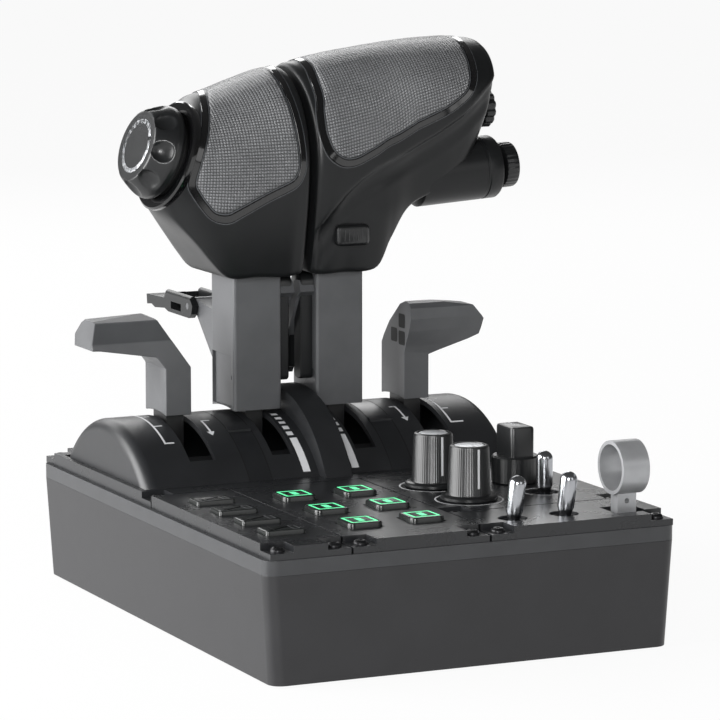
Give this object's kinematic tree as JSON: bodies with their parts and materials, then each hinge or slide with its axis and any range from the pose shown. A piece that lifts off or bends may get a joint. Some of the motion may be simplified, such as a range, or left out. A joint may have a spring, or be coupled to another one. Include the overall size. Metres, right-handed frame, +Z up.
{
  "type": "throttle quadrant",
  "caption": "Desk throttle quadrant with two shaped throttle grips, reverser levers, side levers, keys, knobs and switches.",
  "frame": {"origin": "Middle of the underside of the base, at the centre of the four desk bolt holes.", "axes": "+X to the right along the front edge, +Y away from the pilot, +Z up."},
  "size_m": [0.2216, 0.3053, 0.2626],
  "materials": {
    "case_black": "fine-grained black moulding",
    "plate_grey": "very dark grey textured plate",
    "dome_grey": "dark grey satin cover",
    "lever_grey": "mid dark grey satin moulding",
    "grip_black": "smooth satin black",
    "grip_panel": "black with a fine raised grain",
    "knob_black": "satin black",
    "key_black": "smoked black key cap",
    "reverser_black": "satin black",
    "dark_chrome": "dark chrome",
    "gear_satin": "pale satin metal",
    "arm_steel": "black coated steel",
    "steel": "ground steel",
    "screw_black": "black oxide",
    "foot_rubber": "soft black",
    "board_green": "solder mask green",
    "switch_plastic": "black switch bodies"
  },
  "bodies": {
    "base": {"base_tub": "case_black", "base_rim": "case_black", "bottom_plate": "case_black", "rubber_feet": "foot_rubber", "case_screws": "screw_black", "plate_left": "plate_grey", "plate_centre": "plate_grey", "plate_front_right": "plate_grey", "plate_back_right": "plate_grey", "dome_plate": "case_black", "dome_cover_left": "dome_grey", "dome_cover_right": "dome_grey", "dome_centre": "dome_grey", "dome_strips": "dome_grey", "dome_hump": "case_black", "lever_axle": "steel", "axle_brackets": "arm_steel", "main_board": "board_green", "panel_switches": "switch_plastic"},
    "throttle_left": {"lever_left_arm": "arm_steel", "lever_left_housing": "lever_grey", "reverser_mount_left": "lever_grey", "grip_left_front": "grip_black", "grip_left_back": "grip_black", "grip_left_panel": "grip_panel"},
    "throttle_right": {"lever_right_arm": "arm_steel", "lever_right_housing": "lever_grey", "reverser_mount_right": "lever_grey", "grip_right_front": "grip_black", "grip_right_back": "grip_black", "grip_right_panel": "grip_panel", "brake_barrel": "grip_black"},
    "speed_lever": {"speed_lever_arm": "arm_steel", "speed_lever_handle": "lever_grey"},
    "flap_lever": {"flap_lever_arm": "arm_steel", "flap_lever_handle": "lever_grey"},
    "key_1": {"key_1": "key_black"},
    "key_2": {"key_2": "key_black"},
    "key_3": {"key_3": "key_black"},
    "key_4": {"key_4": "key_black"},
    "key_5": {"key_5": "key_black"},
    "key_6": {"key_6": "key_black"},
    "small_key_1": {"small_key_1": "key_black"},
    "small_key_2": {"small_key_2": "key_black"},
    "small_key_3": {"small_key_3": "key_black"},
    "small_key_4": {"small_key_4": "key_black"},
    "knob_near": {"knob_near": "knob_black"},
    "knob_far": {"knob_far": "knob_black"},
    "selector_knob": {"selector_knob": "knob_black"},
    "toggle_a": {"toggle_a": "dark_chrome"},
    "toggle_b": {"toggle_b": "dark_chrome"},
    "toggle_c": {"toggle_c": "dark_chrome"},
    "gear_lever": {"gear_lever": "gear_satin"},
    "end_knob": {"end_knob": "knob_black"},
    "barrel_knob": {"barrel_knob": "knob_black"},
    "hat_upper": {"hat_upper": "knob_black"},
    "hat_lower": {"hat_lower": "knob_black"},
    "slide_button": {"slide_button": "knob_black"},
    "reverser_left": {"reverser_left": "reverser_black"},
    "reverser_right": {"reverser_right": "reverser_black"}
  },
  "joints": [
    {"name": "throttle_left_swing", "type": "hinge", "parent": "base", "child": "throttle_left", "pos_m": [0, 0.066, 0.0197], "axis": [1, 0, 0], "range_deg": [-30, 30]},
    {"name": "throttle_right_swing", "type": "hinge", "parent": "base", "child": "throttle_right", "pos_m": [0, 0.066, 0.0197], "axis": [1, 0, 0], "range_deg": [-30, 30]},
    {"name": "speed_lever_swing", "type": "hinge", "parent": "base", "child": "speed_lever", "pos_m": [0, 0.066, 0.0197], "axis": [1, 0, 0], "range_deg": [-30, 30]},
    {"name": "flap_lever_swing", "type": "hinge", "parent": "base", "child": "flap_lever", "pos_m": [0, 0.066, 0.0197], "axis": [1, 0, 0], "range_deg": [-30, 30]},
    {"name": "reverser_left_lift", "type": "hinge", "parent": "throttle_left", "child": "reverser_left", "pos_m": [0, 0.1159, 0.1301], "axis": [1, 0, 0], "range_deg": [0, 45]},
    {"name": "reverser_right_lift", "type": "hinge", "parent": "throttle_right", "child": "reverser_right", "pos_m": [0, 0.1159, 0.1301], "axis": [1, 0, 0], "range_deg": [0, 45]},
    {"name": "key_1_press", "type": "slide", "parent": "base", "child": "key_1", "axis": [0, 0, -1], "range_m": [0, 0.0015], "stiffness_N_per_m": 400},
    {"name": "key_2_press", "type": "slide", "parent": "base", "child": "key_2", "axis": [0, 0, -1], "range_m": [0, 0.0015], "stiffness_N_per_m": 400},
    {"name": "key_3_press", "type": "slide", "parent": "base", "child": "key_3", "axis": [0, 0, -1], "range_m": [0, 0.0015], "stiffness_N_per_m": 400},
    {"name": "key_4_press", "type": "slide", "parent": "base", "child": "key_4", "axis": [0, 0, -1], "range_m": [0, 0.0015], "stiffness_N_per_m": 400},
    {"name": "key_5_press", "type": "slide", "parent": "base", "child": "key_5", "axis": [0, 0, -1], "range_m": [0, 0.0015], "stiffness_N_per_m": 400},
    {"name": "key_6_press", "type": "slide", "parent": "base", "child": "key_6", "axis": [0, 0, -1], "range_m": [0, 0.0015], "stiffness_N_per_m": 400},
    {"name": "small_key_1_press", "type": "slide", "parent": "base", "child": "small_key_1", "axis": [0, 0, -1], "range_m": [0, 0.0015], "stiffness_N_per_m": 400},
    {"name": "small_key_2_press", "type": "slide", "parent": "base", "child": "small_key_2", "axis": [0, 0, -1], "range_m": [0, 0.0015], "stiffness_N_per_m": 400},
    {"name": "small_key_3_press", "type": "slide", "parent": "base", "child": "small_key_3", "axis": [0, 0, -1], "range_m": [0, 0.0015], "stiffness_N_per_m": 400},
    {"name": "small_key_4_press", "type": "slide", "parent": "base", "child": "small_key_4", "axis": [0, 0, -1], "range_m": [0, 0.0015], "stiffness_N_per_m": 400},
    {"name": "knob_near_turn", "type": "hinge", "parent": "base", "child": "knob_near", "pos_m": [0.0294, -0.0697, 0.07], "axis": [0, 0, 1], "range_deg": [-150, 150]},
    {"name": "knob_far_turn", "type": "hinge", "parent": "base", "child": "knob_far", "pos_m": [0.0294, -0.0324, 0.07], "axis": [0, 0, 1], "range_deg": [-150, 150]},
    {"name": "selector_turn", "type": "hinge", "parent": "base", "child": "selector_knob", "pos_m": [0.0688, -0.0385, 0.07], "axis": [0, 0, 1], "range_deg": [-60, 60]},
    {"name": "toggle_a_throw", "type": "hinge", "parent": "base", "child": "toggle_a", "pos_m": [0.0266, -0.1186, 0.0578], "axis": [0, 1, 0], "range_deg": [-12, 0]},
    {"name": "toggle_b_throw", "type": "hinge", "parent": "base", "child": "toggle_b", "pos_m": [0.0522, -0.1186, 0.0578], "axis": [0, 1, 0], "range_deg": [-12, 0]},
    {"name": "toggle_c_throw", "type": "hinge", "parent": "base", "child": "toggle_c", "pos_m": [0.0692, -0.0672, 0.0578], "axis": [1, 0, 0], "range_deg": [-12, 12]},
    {"name": "gear_lever_swing", "type": "hinge", "parent": "base", "child": "gear_lever", "pos_m": [0.0815, -0.12, 0.0485], "axis": [1, 0, 0], "range_deg": [-15, 15]},
    {"name": "end_knob_turn", "type": "hinge", "parent": "throttle_left", "child": "end_knob", "pos_m": [-0.0625, 0.063, 0.2093], "axis": [-0.9435, -0.0649, 0.3249], "continuous": true},
    {"name": "barrel_knob_turn", "type": "hinge", "parent": "throttle_right", "child": "barrel_knob", "pos_m": [0.1058, 0.06, 0.198], "axis": [0.9978, 0, 0.0663], "range_deg": [-150, 150]},
    {"name": "hat_upper_press", "type": "slide", "parent": "throttle_right", "child": "hat_upper", "axis": [-1, 0, 0], "range_m": [0, 0.001], "stiffness_N_per_m": 400},
    {"name": "hat_lower_tilt", "type": "hinge", "parent": "throttle_right", "child": "hat_lower", "pos_m": [0.09734, 0.062, 0.2265], "axis": [0, 1, 0], "range_deg": [-6, 6], "stiffness_Nm_per_rad": 0.2},
    {"name": "slide_button_travel", "type": "slide", "parent": "throttle_right", "child": "slide_button", "axis": [1, 0, 0], "range_m": [-0.003, 0.003]}
  ]
}
